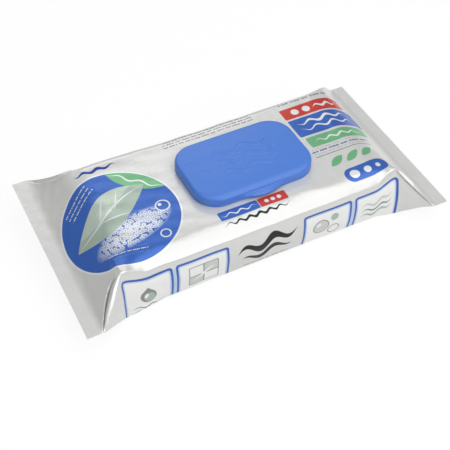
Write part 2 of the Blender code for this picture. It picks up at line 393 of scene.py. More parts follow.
# How far the front's foot spreads on the left and the right, and where that begins and is full
FOOT_SPREAD = ((3.4 * MM, 66 * MM, 98 * MM), (2.6 * MM, 84 * MM, 100 * MM))


def plain_section(x, side, closing, sharpen):
    """y and z of the panels and edges before they bulge or fold, and levels for the folds.

    The height falls with closing, the radii shrink, and the half width is what the girth
    leaves over. The top drops as slant * (share of the shoulder)^power, the edge turns on
    from that slant to upright, and a straight panel and a quarter turn follow.
    """
    stretch, share = round_half[None, :, 0], round_half[None, :, 1]
    edge_top = mix(HEIGHT, FIN_TOP, closing)
    edge_base = mix(0.0, FIN_BASE, closing)
    tall = edge_top - edge_base
    pinch = np.sin(math.pi * closing**PINCH_POWER) ** PINCH_POWER
    fold = mix(EAR_RADIUS, at_ear(x, side, FLAT_WIDTH), pinch)
    radius = np.minimum(mix(CREST_RADIUS[side], fold, sharpen), tall * EDGE_SHARE)
    foot = np.minimum(mix(BASE_RADIUS, EAR_RADIUS, sharpen), tall * EDGE_SHARE)
    wide = (GIRTH / 2 - tall + QUARTER_SAVED * (radius + foot)) / 2

    slant = SHOULDER_SLANT[side] * (1 - sharpen)
    drop = np.tan(slant) * SHOULDER_REACH / SHOULDER_POWER
    crest_y = wide - radius * (1 - np.sin(slant))
    centre_z = edge_top - drop - radius * np.cos(slant)
    turn = mix(slant, math.pi / 2, share)
    foot_turn = share * math.pi / 2
    pressed = PRESSED_FLAT * sharpen
    across_edge = mix(np.sin(turn), mix(np.sin(slant), 1, share), pressed)
    down_edge = mix(np.cos(turn), mix(np.cos(slant), 0, share), pressed)
    level = 0 * share
    top_y = share * crest_y
    on_shoulder = np.clip(1 - (crest_y - top_y) / SHOULDER_REACH, 0, 1)
    places = [stretch == TOP, stretch == TOP_EDGE, stretch == SIDE, stretch == BASE_EDGE]
    y_of_places = [
        top_y,
        wide - radius + radius * across_edge,
        wide + level,
        wide - foot + foot * np.cos(foot_turn),
    ]
    z_of_places = [
        edge_top - drop * on_shoulder**SHOULDER_POWER,
        centre_z + radius * down_edge,
        mix(centre_z, edge_base + foot, share),
        edge_base + foot - foot * np.sin(foot_turn),
    ]
    y = np.select(places, y_of_places, (1 - share) * (wide - foot))
    z = np.select(places, z_of_places, edge_base + level)
    away_top = (1 - share) * crest_y
    away_side = share * (centre_z - edge_base - foot)
    return y, z, (edge_top, edge_base, wide, pinch, away_top, away_side)


def film_half(x, side):
    """Half of every section as points[row, column, xyz], and the way round from the middle.

    The plain section gets the sag of its middle, the bulge and lean of its side, and the
    fold and creases at the ear: soft bumps exp(-t^2) of the distance from the crest.
    """
    x = x[:, None]
    stretch, share = round_half[None, :, 0], round_half[None, :, 1]
    closing = closing_at(x, side)
    sharpen = ease(SHARP_FROM, SHARP_TO, np.abs(x))
    y, z, levels = plain_section(x, side, closing, sharpen)
    edge_top, edge_base, wide, pinch, away_top, away_side = levels
    on_top, on_edge, on_side = stretch == TOP, stretch == TOP_EDGE, stretch == SIDE
    steps = np.hypot(np.diff(y, axis=1), np.diff(z, axis=1))
    way = np.concatenate([0 * x, np.cumsum(steps, axis=1)], axis=1)

    sag_top = mix(HEIGHT, FIN_TOP, run_from(x, TOP_SAG) ** SAG_POWER) - edge_top
    sag_base = mix(0.0, FIN_BASE, run_from(x, BASE_SAG) ** SAG_POWER) - edge_base
    z = z + np.where(on_top, sag_top * (1 - share**3), 0)
    z = z + np.where(stretch == BASE, sag_base * (1 - (1 - share) ** 3), 0)

    rise = np.clip((z - edge_base) / (edge_top - edge_base), 0, 1)
    y = y + SIDE_BULGE * (1 - closing) * np.sin(math.pi * share) * on_side
    if side == FRONT:
        lean = np.where(x < 0, LEFT_LEAN, RIGHT_LEAN) * ease(LEAN_FROM, LEAN_TO, np.abs(x))
        lean = lean * (1 - ease(0.0, LEAN_END, closing))
        both = [most * ease(start, full, np.abs(x)) for most, start, full in FOOT_SPREAD]
        spread = np.where(x < 0, *both) * (1 - closing)
        y = y - lean * rise**2 * y / wide + spread * (1 - rise) ** 1.5 * y / wide

    lifted = at_ear(x, side, FOLD_HEIGHT) * pinch
    reach = np.maximum(at_ear(x, side, CREASE_AWAY) * pinch, LEAST_AWAY)
    ledge = np.where(at_ear(x, side, EAR_CREASE) > 0, CREASED_LEDGE, SMOOTH_LEDGE)
    near_top = np.clip(1 - away_top / reach, 0, 1)
    near_side = np.clip(1 - away_side / ledge, 0, 1)
    z = z + lifted * (near_top * on_top + (1 - share) * on_edge)
    y = y + lifted * (share * on_edge + near_side * on_side) / 2
    past = away_top - reach
    hollow = np.where(past < 0, away_top / reach, np.exp(-past / HOLLOW_REACH))
    hollow = hollow * at_ear(x, side, HOLLOW)
    on_end = bell(past / PANEL_CREASE_WIDTH) * at_ear(x, side, PANEL_CREASE) + hollow
    z = z - on_end * pinch * on_top
    on_ear = bell((away_side - ledge - EAR_CREASE_BELOW) / EAR_CREASE_WIDTH) * on_side
    y = y - on_ear * pinch * at_ear(x, side, EAR_CREASE)
    return np.stack([x + 0 * y, side * y, z], -1), side * way


# %% Whole film, with the lift and twist of its fins
LEFT_LIFT, LEFT_TWIST = 2.3 * MM, 5.0 * MM
RIGHT_LIFT, RIGHT_TWIST = -3.6 * MM, 1.4 * MM


def film_surface():
    """Closed sections from the middle of the base. A fin lifts and twists by closing^2."""
    front, way_front = film_half(along, FRONT)
    back, way_back = film_half(along, BACK)
    points = np.concatenate([front[:, ::-1], back[:, 1:]], axis=1)
    way = np.concatenate([way_front[:, ::-1], way_back[:, 1:]], axis=1)
    closing = closing_at(points[..., 0], BACK)
    lift = np.where(points[..., 0] < 0, LEFT_LIFT, RIGHT_LIFT)
    twist = np.where(points[..., 0] < 0, LEFT_TWIST, RIGHT_TWIST)
    points[..., 2] += closing**2 * (lift + twist * points[..., 1] / (GIRTH / 4))
    return points, way


film_points, film_way = film_surface()
print("film points", film_points.shape)

# %% [markdown]
# Film is never quite smooth. It hangs a little hollow beside the wipes and ripples near the
# folds. These are small moves along the surface's own normal, kept away from the lid's
# flange, which holds the film flat, and from the base, which rests on the table.

# %% Dents and ripples
LID_CENTRE = np.array([9.7, 1.2]) * MM
LID_HALF = np.array([42.8, 28.4]) * MM
# Each in mm: how far out, the place along the pack and on the way round, and the half sizes
DENTS = (
    (-1.1, -76, -52, 20, 5),
    (-0.9, 88, -55, 10, 5),
    (-0.5, 60, -36, 16, 5),
    (1.2, -75, 49, 32, 7),
)
# Heights of the ripples, and their waves along the film and round it
BROAD, BROAD_ALONG, BROAD_ROUND = 0.30 * MM, 70 * MM, 45 * MM
FINE, FINE_ALONG, FINE_ROUND = 0.12 * MM, 16 * MM, 22 * MM
# The fine ones grow toward the ends. On the top the flange holds the film, and below the
# base does, so all these moves fade in away from them, and fade out into the fins
ENDS_FROM, ENDS_TO = 60 * MM, 95 * MM
TOP_WAY, FLANGE_MARGIN, FREE_FROM, FREE_TO = 40 * MM, 6 * MM, 6 * MM, 16 * MM
BASE_FROM, BASE_TO = 80 * MM, 88 * MM
FIN_CALM = 0.85
LEAST_LEVEL = 0.02 * MM


def outward(points):
    """Unit normals of the grid: (step along) x (step round), both by central differences."""
    joined = np.concatenate([points[:, -2:-1], points, points[:, 1:2]], axis=1)
    across = joined[:, 2:] - joined[:, :-2]
    down = np.gradient(points, axis=0)
    normal = np.cross(down, across)
    return normal / np.maximum(np.linalg.norm(normal, axis=-1, keepdims=True), 1e-12)


def ripples(x, way, seed, long_wave, cross_wave, count=9):
    """A sum of plane waves with seeded directions and phases, mostly between -1 and 1."""
    rng = np.random.default_rng(seed)
    kx = rng.normal(0, 2 * math.pi / long_wave, count)
    kw = rng.normal(0, 2 * math.pi / cross_wave, count)
    phase = rng.uniform(0, 2 * math.pi, count)
    return np.cos(x[..., None] * kx + way[..., None] * kw + phase).sum(-1) / count**0.5 / 1.5


def film_relief(points, way):
    """How far each point moves outwards, in metres."""
    x = points[..., 0]
    closing = closing_at(x, BACK)
    beside = np.abs(points[..., :2] - LID_CENTRE) - LID_HALF + FLANGE_MARGIN
    beside = np.linalg.norm(np.maximum(beside, 0), axis=-1)
    free = np.where(np.abs(way) < TOP_WAY, ease(FREE_FROM, FREE_TO, beside), 1.0)
    above_base = 1 - ease(BASE_FROM, BASE_TO, np.abs(way)) * (1 - closing)
    off_fin = 1 - FIN_CALM * ease(FIN_CALM, 1.0, closing)
    moved = BROAD * ripples(x, way, 3, BROAD_ALONG, BROAD_ROUND)
    fine = FINE * ripples(x, way, 8, FINE_ALONG, FINE_ROUND)
    moved += fine * ease(ENDS_FROM, ENDS_TO, np.abs(x))
    for out, centre_x, centre_way, half_x, half_way in np.array(DENTS) * MM:
        moved += out * bell((x - centre_x) / half_x) * bell((way - centre_way) / half_way)
    return moved * free * above_base * off_fin


film_points += outward(film_points) * film_relief(film_points, film_way)[..., None]
film_points[..., 2] = np.maximum(film_points[..., 2], LEAST_LEVEL)
film_low, film_high = film_points.min((0, 1)), film_points.max((0, 1))
print("film box mm", (film_low / MM).round(1), (film_high / MM).round(1))

# %% [markdown]
# The print needs a place on the flat film for every point. Along the pack it is the length
# of the sloping middle line, and across it is the way round the section, which the girth
# rule keeps true. Both go into a UV map as shares of the film's length and width.

# %% Flat coordinates for the print
middle_line = film_points[:, len(round_half) - 1]
steps = np.hypot(np.diff(middle_line[:, 0]), np.diff(middle_line[:, 2]))
run = np.concatenate([[0], np.cumsum(steps)])
run -= run[len(run) // 2]
FLAT_LENGTH = 2 * run[-1]
flat = pair(run[:, None] / FLAT_LENGTH + 0.5, film_way / GIRTH + 0.5)
film_mesh = mesh_of_rows("film_skin", film_points[:, :-1], flat)
print("flat film", round(FLAT_LENGTH / MM, 1), "x", round(GIRTH / MM, 1), "mm")

# %% [markdown]
# The print is crisp fields of flat ink. Every field is a shape worked out in shader nodes
# from the flat coordinates in millimetres, with an edge about as soft as printing. A few
# node groups draw the kinds of shape, and tables list where each one goes. All motifs are
# plain: drops, bubbles, waves, tiles, and rows of broken strokes in place of small print.

# %% Groups that draw shapes
PRINT_EDGE = 0.35


def new_group(name, vector_inputs=(), number_inputs=()):
    """A node group, its inputs, the place in its own axes, and maths and vector_maths for it."""
    group = bpy.data.node_groups.new(name, "ShaderNodeTree")
    sockets = [(key, "NodeSocketVector") for key in ("Place", "Centre", *vector_inputs)]
    sockets += [(key, "NodeSocketFloat") for key in ("Turn", *number_inputs)]
    for key, kind in sockets:
        group.interface.new_socket(name=key, in_out="INPUT", socket_type=kind)
    group.interface.new_socket(name="Mask", in_out="OUTPUT", socket_type="NodeSocketFloat")
    given = add(group, "NodeGroupInput").outputs
    moved = vector_maths(group, "SUBTRACT", given["Place"], given["Centre"])
    back = maths(group, "MULTIPLY", given["Turn"], -math.pi / 180)
    sockets = {"Vector": moved, "Angle": back}
    local = add(group, "ShaderNodeVectorRotate", sockets, rotation_type="Z_AXIS").outputs[0]
    return group, given, local, partial(maths, group), partial(vector_maths, group)


def with_mask(group, distance):
    """The mask is 1 inside, 0 outside, and falls over the print's edge: 0.5 - distance/edge."""
    mask = maths(group, "MULTIPLY_ADD", distance, -1 / PRINT_EDGE, 0.5, clamp=True)
    add(group, "NodeGroupOutput", {"Mask": mask})
    return group


def rounded_field():
    """Rounded rectangle: |max(q, 0)| + min(max(qx, qy), 0) - corner, q = |p| - half + corner."""
    group, given, local, calc, vcalc = new_group("rounded_field", ["Half"], ["Corner"])
    less = vcalc("SUBTRACT", vcalc("ABSOLUTE", local), given["Half"])
    q = vcalc("ADD", less, given["Corner"])
    level = vcalc("MULTIPLY", vcalc("MAXIMUM", q, (0, 0, 0)), (1, 1, 0))
    qx, qy, _ = parts_of(group, q)
    inside = calc("MINIMUM", calc("MAXIMUM", qx, qy), 0.0)
    both = calc("ADD", vcalc("LENGTH", level), inside)
    return with_mask(group, calc("SUBTRACT", both, given["Corner"]))


def oval_field():
    """Ellipse: the distance is about (|p / radii| - 1) times the first radius."""
    group, given, local, calc, vcalc = new_group("oval_field", ["Radii"])
    length = vcalc("LENGTH", vcalc("DIVIDE", local, given["Radii"]))
    over = calc("SUBTRACT", length, 1.0)
    first_radius = parts_of(group, given["Radii"])[0]
    return with_mask(group, calc("MULTIPLY", over, first_radius))


def wave_field():
    """A tapering wave: |y - swing sin(2 pi x / wave)| - width (1 - (x / reach)^2) / 2."""
    sizes = ["Reach", "Swing", "Wave", "Width"]
    group, given, local, calc, vcalc = new_group("wave_field", [], sizes)
    x, y, _ = parts_of(group, local)
    angle = calc("MULTIPLY", calc("DIVIDE", x, given["Wave"]), 2 * math.pi)
    crest = calc("MULTIPLY", calc("SINE", angle), given["Swing"])
    away = calc("ABSOLUTE", calc("SUBTRACT", y, crest))
    far = calc("DIVIDE", x, given["Reach"])
    taper = calc("SUBTRACT", 1.0, calc("MULTIPLY", far, far))
    wide = calc("MULTIPLY", taper, given["Width"])
    return with_mask(group, calc("MULTIPLY_ADD", wide, -0.5, away))


ROW_SHIFT = 37.3
SWELL_PACE, NICK_PACE, FIRST_PACE, SECOND_PACE = 4.3, 7.6, 1.15, 2.9


def stroke_rows():
    """Rows of broken strokes in a rectangle, in place of small print.

    The row number is round(y / pitch). Two sines of different pace, shifted by the row,
    cut each row into uneven strokes. A quicker sine lets their height swell and shrink,
    and the quickest nicks them.
    """
    group, given, local, calc, vcalc = new_group("stroke_rows", ["Half"], ["Pitch", "Stroke"])
    less = vcalc("SUBTRACT", vcalc("ABSOLUTE", local), given["Half"])
    over_x, over_y, _ = parts_of(group, less)
    beyond = calc("MAXIMUM", over_x, over_y)
    x, y, _ = parts_of(group, local)
    share = calc("DIVIDE", y, given["Pitch"])
    row = calc("ROUND", share)
    away = calc("ABSOLUTE", calc("SUBTRACT", share, row))
    off_row = calc("MULTIPLY", away, given["Pitch"])
    shifted = calc("MULTIPLY_ADD", row, ROW_SHIFT, x)
    slow = calc("DIVIDE", shifted, given["Stroke"])

    def sine(pace, start=0.0):
        return calc("SINE", calc("MULTIPLY_ADD", slow, pace, start))

    swell = calc("MULTIPLY_ADD", sine(SWELL_PACE), -0.13, -0.4)
    width = calc("MULTIPLY_ADD", given["Stroke"], swell, off_row)
    nick = calc("MULTIPLY_ADD", sine(NICK_PACE), 0.9, -0.7)
    summed = calc("ADD", sine(FIRST_PACE), sine(SECOND_PACE, 1.0))
    gap = calc("MULTIPLY_ADD", summed, -0.5, -0.42)
    worst = calc("MAXIMUM", width, calc("MAXIMUM", nick, gap))
    return with_mask(group, calc("MAXIMUM", worst, beyond))


FOAM_SCALE, FOAM_RING, FOAM_RANDOM = 0.42, 0.36, 0.9


def foam_field():
    """Bubbles in an ellipse: rings round Voronoi cells, with thinner walls toward its rim."""
    group, given, local, calc, vcalc = new_group("foam_field", ["Radii"])
    length = vcalc("LENGTH", vcalc("DIVIDE", local, given["Radii"]))
    sockets = {"Vector": local, "Scale": FOAM_SCALE, "Randomness": FOAM_RANDOM}
    cells = add(group, "ShaderNodeTexVoronoi", sockets, voronoi_dimensions="2D")
    ring = calc("SUBTRACT", cells.outputs["Distance"], FOAM_RING)
    thick = calc("MULTIPLY_ADD", length, 0.16, -0.30)
    wall = calc("ADD", calc("ABSOLUTE", ring), thick)
    rim = calc("SUBTRACT", length, 1.0)
    return with_mask(group, calc("MAXIMUM", wall, rim))


DRAW = {
    "box": rounded_field(),
    "oval": oval_field(),
    "wave": wave_field(),
    "rows": stroke_rows(),
    "foam": foam_field(),
}
print("shape groups", {key: len(group.nodes) for key, group in DRAW.items()})

# %% [markdown]
# The pack is printed in a strong blue, a leaf green, a warm red, pale blues and greys. The
# colours are those of the ink on pearly film under plain light.

# %% Inks
BLUE = "#3E6CC4"
DEEP_BLUE = "#2C4A9E"
SKY = "#C3D6EE"
RIM = "#3D62B8"
PAPER = "#F6F7F5"
GREEN = "#79BD8B"
RED = "#D2463F"
WHITE = "#F1F4F4"
PALE = "#E3E9EA"
MIST = "#AEC0B2"
LIGHT_MIST = "#C4D2C6"
GREY = "#8E9290"
SLATE = "#6C6F73"
STONE = "#D2D5D1"
DARK = "#151517"
print("blue in linear light", linear(BLUE))

# %% [markdown]
# Each field has a centre, in mm along the film and across it from the top's middle, and an
# ink. Its sizes follow: half width, half height and corner for a box, one or two radii for
# an oval, reach, swing, wave length and width for a wave, and half width, half height,
# pitch and stroke for rows. A field with the role INSIDE shows only within the last FRAME.

# %% Kinds of field
FRAME, INSIDE = "frame", "inside"


def field(shape, x, y, ink, turn=0, role=None, **sizes):
    """One entry of a table; turn is in degrees, and sizes are the inputs of the shape's group."""
    return shape, ink, role, {"Centre": (x, y, 0), "Turn": turn, **sizes}


def box(x, y, ink, half_x, half_y, corner, **more):
    return field("box", x, y, ink, Half=(half_x, half_y, 0), Corner=corner, **more)


def oval(x, y, ink, radius, other_radius=None, **more):
    return field("oval", x, y, ink, Radii=(radius, other_radius or radius, 1), **more)


def wave(x, y, ink, reach, swing, wave, width, **more):
    return field("wave", x, y, ink, Reach=reach, Swing=swing, Wave=wave, Width=width, **more)


def rows(x, y, ink, half_x, half_y, pitch, stroke, **more):
    return field("rows", x, y, ink, Half=(half_x, half_y, 0), Pitch=pitch, Stroke=stroke, **more)


# %% Fields on the top panel
top_fields = [
    oval(-82.5, -4.5, WHITE, 41.3),
    oval(-82.5, -4.5, BLUE, 40.2, role=FRAME),
    oval(-54, 27, GREEN, 24, 15, turn=-40, role=INSIDE),
    wave(-60, 21, WHITE, 20, 1.2, 15, 1.4, turn=-44, role=INSIDE),
    field("foam", -78, -19, WHITE, Radii=(26, 10, 1), turn=16, role=INSIDE),
    rows(-100, 22, WHITE, 13, 4.5, 3.4, 0.9, turn=33, role=INSIDE),
    rows(-88, -34, WHITE, 13, 2.6, 3, 0.8, turn=-12, role=INSIDE),
    wave(-86, 2, MIST, 33, 2, 66, 27, turn=24, role=FRAME),
    wave(-89.3, 9.5, LIGHT_MIST, 34, 2, 66, 16, turn=24, role=INSIDE),
    wave(-86, 2, PALE, 31, 2, 66, 1.6, turn=24),
    wave(-90, 6, PALE, 10, 1, 40, 1.1, turn=58),
    wave(-78, 10, PALE, 9, 1, 40, 1.1, turn=58),
    wave(-84, -4, PALE, 10, 1, 40, 1.1, turn=-8),
    oval(-53, -8, PALE, 5),
    oval(-53, -8, BLUE, 4),
    oval(-54.4, -6.4, WHITE, 1.2),
    oval(-61, -31, PALE, 3.6),
    oval(-61, -31, BLUE, 2.7),
    wave(-80, 41.5, DEEP_BLUE, 15, 0.9, 10, 2.6),
    rows(4, 43, SLATE, 34, 3.2, 2.6, 1.1),
]

# %% Fields right of the lid and below it
side_fields = [
    rows(80, 44.5, SLATE, 20, 1, 9, 1.5),
    box(83, 34, RED, 25, 5.6, 1.2),
    *(oval(x, 34, WHITE, 2.9) for x in (68, 77)),
    wave(92, 34, WHITE, 10, 1.2, 9, 2.4),
    box(86, 17.5, BLUE, 28, 9.4, 1.2),
    wave(83, 21.4, WHITE, 20, 1.6, 13, 2.6),
    wave(85, 14.6, WHITE, 22, 1.6, 13, 1.8),
    box(84, 0.8, GREEN, 24, 5.2, 1.2),
    wave(84, 0.8, WHITE, 19, 1.1, 9, 1.8),
    rows(80, -9, DEEP_BLUE, 23, 2.7, 3.1, 1.5),
    box(80, -14, GREY, 23, 0.35, 0.1),
    *(wave(x, -22.5, GREEN, 7, 0.4, 28, 6, turn=28) for x in (68, 80, 92)),
    box(82, -38.5, BLUE, 17, 6, 5.6),
    *(oval(x, -38.5, WHITE, radius) for x, radius in ((72, 3.5), (82, 2.7), (91, 2))),
    box(-12, -34.5, BLUE, 14, 3.8, 1),
    box(12.4, -34.5, RED, 10, 3.8, 1),
    wave(-12, -34.5, WHITE, 12, 1, 8, 1.2),
    *(oval(x, -34.5, WHITE, 1.5) for x in (7.9, 12.4, 16.9)),
    wave(-2, -41.8, DARK, 24, 0.9, 7.2, 2),
]

# %% [markdown]
# Each long side carries a strip of framed windows that runs on under the pack: a dark rim,
# a light rim and a pale ground with a faint plain sign. The same strip serves both sides,
# because it is drawn on the distance from the top's middle line.

# %% Fields on the long sides and the base
WINDOW_LEVEL = -74.9
WINDOW_HALF = 19.3
WINDOWS = ((-101.5, -66.4), (-64.2, -27.5), (26.5, 63.1), (65.6, 101.2))
# Each layer of a window: its ink, how far in it lies and its corner's radius
LAYERS = ((RIM, 0, 2.2), (SKY, 1.5, 1.4), (PAPER, 2.5, 1))
TILES = ((-50.6, -65.8, PAPER), (-40.4, -65.8, STONE), (-50.6, -74.2, STONE), (-40.4, -74.2, PAPER))

strip_fields = [box(x, WINDOW_LEVEL, SKY, 3.5, 17.5, 0.5) for x in (-65.2, 64.2)]
for start, end in WINDOWS:
    for ink, inset, corner in LAYERS:
        half = (end - start) / 2 - inset
        layer = box((start + end) / 2, WINDOW_LEVEL, ink, half, WINDOW_HALF - inset, corner)
        strip_fields.append(layer)

strip_fields += [
    oval(-84, -71, GREY, 5.4),
    box(-84, -67.2, GREY, 2.75, 2.75, 0.2, turn=45),
    oval(-83.4, -71.6, MIST, 3.6, 3.9),
    oval(-85.4, -70, PAPER, 1.2, 2.2, turn=-24),
    wave(-84, -80.5, GREY, 12, 0.8, 9, 1.2),
    wave(-84, -84.5, MIST, 12, 0.8, 9, 1.2),
    box(-45.5, -70, GREY, 10.4, 8.6, 0.8),
    *(box(x, y, ink, 4.7, 3.8, 0.5) for x, y, ink in TILES),
    wave(-45.5, -70, WHITE, 9, 0.8, 30, 2.2, turn=24),
    oval(40, -69, GREY, 6),
    oval(40, -69, STONE, 5.3),
    oval(38.2, -67, WHITE, 2, 1.4, turn=30),
    oval(50, -75, GREY, 4.4),
    oval(50, -75, PAPER, 3.7),
    oval(50, -63.8, MIST, 2.9),
    wave(84, -65.5, STONE, 13, 1.4, 12, 2.6),
    wave(84, -70.5, GREY, 13, 1.4, 12, 2),
    wave(84, -75.5, MIST, 13, 1.4, 12, 2.6),
    wave(0, -63.5, DARK, 22, 3.2, 21, 6.4, turn=6),
    wave(0, -72, DARK, 18, 2.6, 21, 4.4, turn=6),
    rows(0, -80, GREY, 16, 0.8, 9, 1),
    rows(-40, -110, GREY, 34, 9, 2.8, 0.8),
    rows(46, -110, GREY, 26, 9, 2.8, 0.8),
]
print("printed fields", len(top_fields) + len(side_fields) + len(strip_fields))

# %% [markdown]
# Pearl film is polypropylene blown full of tiny voids: milky, a little metallic, and
# glossy. It mirrors a big lamp as a soft bright band along a rounded edge. So the shader
# has a small metallic share, the IOR of polypropylene, a medium gloss, and a bump of slack
# ripples about 7 mm wide. On the fins it adds the faint ribs of the sealing jaws.

# %% Film material
POLYPROPYLENE_IOR = 1.49
film_material, tree, shader = new_material(
    "pearl_polypropylene_film", 0.33, IOR=POLYPROPYLENE_IOR, Metallic=0.3
)
on_film = add(tree, "ShaderNodeUVMap", uv_map="flat_film").outputs[0]
centred = vector_maths(tree, "SUBTRACT", on_film, (0.5, 0.5, 0))
place_mm = vector_maths(tree, "MULTIPLY", centred, (FLAT_LENGTH / MM, GIRTH / MM, 0))
x_mm, y_mm, _ = parts_of(tree, place_mm)
mirrored = maths(tree, "MULTIPLY", maths(tree, "ABSOLUTE", y_mm), -1.0)
both_sides = add(tree, "ShaderNodeCombineXYZ", {0: x_mm, 1: mirrored}).outputs[0]
ground = mixed(tree, noise(tree, place_mm, 0.03), linear("#DCDDDA"), linear("#E4E4E3"))


def print_fields(tree, ground, where, fields):
    """Lay the fields on the ground one after another, the later over the earlier."""
    frame_mask = None
    for shape, ink, role, inputs in fields:
        drawn = add(tree, "ShaderNodeGroup", {"Place": where, **inputs}, node_tree=DRAW[shape])
        mask = drawn.outputs[0]
        if role == FRAME:
            frame_mask = mask
        if role == INSIDE:
            mask = maths(tree, "MULTIPLY", mask, frame_mask)
        ground = mixed(tree, mask, ground, linear(ink))
    return ground


printed = print_fields(tree, ground, place_mm, top_fields + side_fields)
printed = print_fields(tree, printed, both_sides, strip_fields)
tree.links.new(printed, shader.inputs["Base Color"])
print("film shader nodes", len(tree.nodes))

# %% Film relief in the shader
RIB_PITCH = 1.3
SLACK_DEPTH, RIB_DEPTH = 0.35 * MM, 0.016 * MM
slack = noise(tree, place_mm, 0.14, 3.0)
grain = noise(tree, place_mm, 1.1)
tree.links.new(ranged(tree, grain, 0.26, 0.35), shader.inputs["Roughness"])
fin_from = (FLAT_LENGTH / 2 - FIN_LENGTH) / MM
on_fin = ranged(tree, maths(tree, "ABSOLUTE", x_mm), 0.0, 1.0, fin_from, fin_from + 1)
rib_wave = maths(tree, "SINE", maths(tree, "MULTIPLY", x_mm, 2 * math.pi / RIB_PITCH))
rib_height = maths(tree, "MULTIPLY", rib_wave, on_fin)
slack_bump = bump(tree, slack, SLACK_DEPTH)
rib_bump = bump(tree, rib_height, RIB_DEPTH, Normal=slack_bump)
tree.links.new(rib_bump, shader.inputs["Normal"])

film_piece = place("film_skin", film_mesh, film_material, "pack")
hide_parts("film_pack")

# %% [markdown]
# The lid is an injection moulding in polypropylene: a flange stuck to the film, a collar
# round the opening and a cover on a living hinge. All three follow one outline, a rounded
# rectangle moved inwards or outwards, so each is a profile carried round it. On the cover
# the front of the outline swells into the thumb lip.

# %% Outline of the lid
LID_CORNER = 17 * MM
LEAST_CORNER = 2 * MM
LIP_HALF = 20 * MM
CORNER_STEPS = 24
FRONT_STEPS = 66
END_STEPS = 30


def lip_share(x):
    """How much of the thumb lip there is at x from the lid's middle: cos^2 within its length."""
    return np.cos(np.clip(np.abs(x) / LIP_HALF, 0, 1) * math.pi / 2) ** 2


def lid_outline(inset, z, reach=0.0):
    """The rounded rectangle moved in by inset, anticlockwise from above, as a closed loop.

    Four quarter turns of the corner radius joined by straight sides. The front side moves
    forward by reach * lip_share.
    """
    half = LID_HALF - inset
    radius = max(LEAST_CORNER, LID_CORNER - inset)
    turn = np.linspace(0, math.pi / 2, CORNER_STEPS)
    quarter = radius * pair(np.cos(turn), np.sin(turn))
    core = half - radius
    level = np.linspace(1, -1, FRONT_STEPS + 2)[1:-1]
    upright = np.linspace(1, -1, END_STEPS + 2)[1:-1]
    across = core[0] * level
    next_quarter = pair(-quarter[:, 1], quarter[:, 0])
    loop = np.concatenate([
        quarter + core, pair(across, half[1]),
        next_quarter + core * (-1, 1), pair(-half[0], core[1] * upright),
        -quarter - core, pair(-across, -half[1] - reach * lip_share(across)),
        -next_quarter + core * (1, -1), pair(half[0], -core[1] * upright),
    ])
    return at_level(loop + LID_CENTRE, z)


print("points in the lid's outline", len(lid_outline(0.0, 0.0)))

# %% [markdown]
# The cover's rows run from the middle of its top outwards over the rounded edge, down the
# wall, round the thumb lip and back in over the ceiling to the sealing rim. The top is
# slightly crowned and carries three raised waves. The thumb lip has two ridges for grip.

# %% Levels of the lid's parts
FLANGE_BASE, FLANGE_TOP, COLLAR_TOP = 38.8 * MM, 40.0 * MM, 43.0 * MM
COVER_BASE, COVER_TOP, CEILING = 40.3 * MM, 46.3 * MM, 45.1 * MM
COVER_WALL = 1.2 * MM
COVER_EDGE = 3.0 * MM
COVER_CROWN = 0.4 * MM
# The rolled edge is wider by this much at the front, and tighter at the ends
FRONT_ROLL, END_ROLL = 2.4 * MM, -0.8 * MM
LIP_REACH = 3.9 * MM
LIP_ROOT, LIP_TIP = 43.2 * MM, 41.4 * MM
LIP_EDGE = 0.5 * MM
RIDGE_HEIGHT = 0.35 * MM
RIM_INSIDE, RIM_OUTSIDE, RIM_BASE = 9.45 * MM, 8.45 * MM, 42.0 * MM
COLLAR_OUTSIDE, FLANGE_INSIDE = 9.8 * MM, 11.0 * MM
SOFT = 0.2 * MM
# The raised waves, in mm: centre across the lid, half length and width
RAISED = ((9.5, 22, 3.6), (0.0, 29, 4.2), (-9.5, 22, 3.6))
RAISED_HEIGHT, RAISED_SLOPE = 0.42 * MM, 0.45 * MM
RAISED_SWING, RAISED_LENGTH = 2.2 * MM, 19 * MM


def raised_waves(x, y):
    """Height of the ornament: three tapering waves, full in the middle and soft at the rim."""
    height = np.zeros_like(x)
    for centre_y, reach, width in np.array(RAISED) * MM:
        share = np.clip(np.abs(x) / reach, 0, 1)
        off = np.abs(y - centre_y - RAISED_SWING * np.sin(x * 2 * math.pi / RAISED_LENGTH))
        half = width * (1 - share**2) / 2
        height = np.maximum(height, 1 - ease(-RAISED_SLOPE, RAISED_SLOPE, off - half))
    return height


def lip_ridges(share):
    """Two ridges across the lip's depth, as narrow bells at a third and three quarters."""
    return bell((share - 0.38) / 0.09) + bell((share - 0.74) / 0.09)


# %% Cover of the lid


